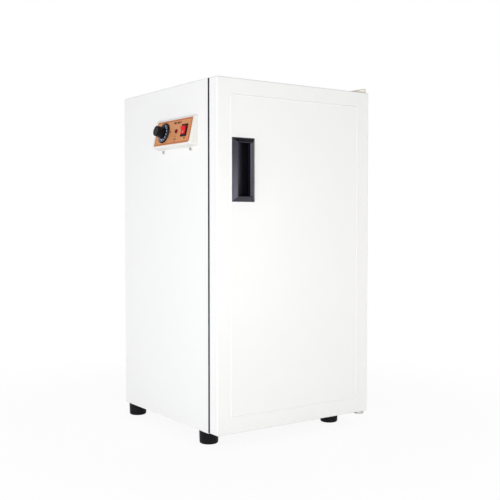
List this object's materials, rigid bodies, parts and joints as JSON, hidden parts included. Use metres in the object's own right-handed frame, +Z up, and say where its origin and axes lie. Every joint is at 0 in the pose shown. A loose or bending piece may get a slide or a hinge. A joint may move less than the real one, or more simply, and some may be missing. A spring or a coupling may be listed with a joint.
{
  "type": "warming cabinet",
  "caption": "Small upright heated cabinet with one solid door hinged on the right, a flush pull, wire shelves, and a control box with dial, lamp and rocker switch on its left wall.",
  "frame": {"origin": "on the floor, under the middle of the whole object", "axes": "+X to the right as one faces the door, +Y to the back, +Z up"},
  "size_m": [0.492, 0.4642, 0.84],
  "materials": {
    "painted_steel": "smooth gloss powder coat, white",
    "painted_rear": "pale grey paint",
    "stainless": "brushed stainless sheet",
    "zinc_screw": "bright zinc plate",
    "white_plastic": "moulded plastic, warm white",
    "foam": "rigid foam",
    "zinc_steel": "zinc plated steel",
    "beige_plastic": "moulded plastic, beige",
    "gasket_rubber": "soft dark grey seal",
    "magnet": "flexible magnet strip",
    "bush_plastic": "natural acetal",
    "black_gloss_plastic": "black moulded plastic, glossy",
    "orange_plate": "printed plate, copper orange",
    "copper": "copper",
    "brass": "brass",
    "black_plastic": "black moulded plastic",
    "red_lens": "dark red lens",
    "red_plastic": "red moulded plastic",
    "foot_rubber": "black moulded rubber",
    "chrome_wire": "chrome plated wire",
    "heater_sheath": "sheath darkened by heat",
    "cable_sheath": "braided sleeve, black"
  },
  "bodies": {
    "cabinet": {"outer_wrap": "painted_steel", "base_pan": "painted_rear", "back_panel": "painted_rear", "back_screws": "zinc_screw", "throat_frame": "white_plastic", "inner_liner": "stainless", "insulation": "foam", "top_hinge_plate": "zinc_steel", "top_hinge_pin": "zinc_steel", "top_hinge_cover": "beige_plastic", "bottom_hinge_plate": "zinc_steel", "bottom_hinge_pin": "zinc_steel", "hinge_screws": "zinc_screw", "hinge_anchors": "zinc_steel", "control_housing": "white_plastic", "housing_screws": "zinc_screw", "control_faceplate": "orange_plate", "thermostat_body": "zinc_steel", "thermostat_nut": "zinc_screw", "thermostat_bulb": "copper", "bulb_clips": "zinc_steel", "pilot_lamp_body": "black_plastic", "pilot_lamp_lens": "red_lens", "switch_body": "black_gloss_plastic", "foot_screws": "zinc_screw", "foot_nuts": "zinc_screw", "pilaster_screws": "zinc_screw", "shelf_clips": "zinc_steel", "heater_element": "heater_sheath", "heater_glands": "brass", "heater_supports": "zinc_steel", "heater_guard": "stainless", "mains_inlet": "black_gloss_plastic", "inlet_pins": "brass", "inlet_screws": "zinc_screw", "thermal_cutout": "zinc_steel", "wiring_loom": "cable_sheath", "foot_front_left": "foot_rubber", "foot_front_right": "foot_rubber", "foot_rear_left": "foot_rubber", "foot_rear_right": "foot_rubber", "pilaster_left_front": "stainless", "pilaster_left_rear": "stainless", "pilaster_right_front": "stainless", "pilaster_right_rear": "stainless", "shelf_lower": "chrome_wire", "shelf_middle": "chrome_wire", "shelf_upper": "chrome_wire"},
    "door": {"door_skin": "painted_steel", "door_foam": "foam", "door_liner": "white_plastic", "door_liner_screws": "zinc_screw", "door_gasket": "gasket_rubber", "gasket_magnets": "magnet", "door_top_bush": "bush_plastic", "door_bottom_bush": "bush_plastic", "handle_cup": "black_gloss_plastic"},
    "knob": {"control_knob": "black_plastic", "thermostat_shaft": "zinc_steel"},
    "rocker": {"switch_rocker": "red_plastic"}
  },
  "joints": [
    {"name": "door_hinge", "type": "hinge", "parent": "cabinet", "child": "door", "pos_m": [0.23245, -0.2064, 0.43], "axis": [0, 0, 1], "range_deg": [0, 135]},
    {"name": "knob_turn", "type": "hinge", "parent": "cabinet", "child": "knob", "pos_m": [-0.21805, -0.0119, 0.719], "axis": [-0.9751, 0, 0.2216], "range_deg": [-60, 210]},
    {"name": "rocker_tilt", "type": "hinge", "parent": "cabinet", "child": "rocker", "pos_m": [-0.21815, -0.1054, 0.71902], "axis": [0, 1, 0], "range_deg": [0, 20]}
  ]
}
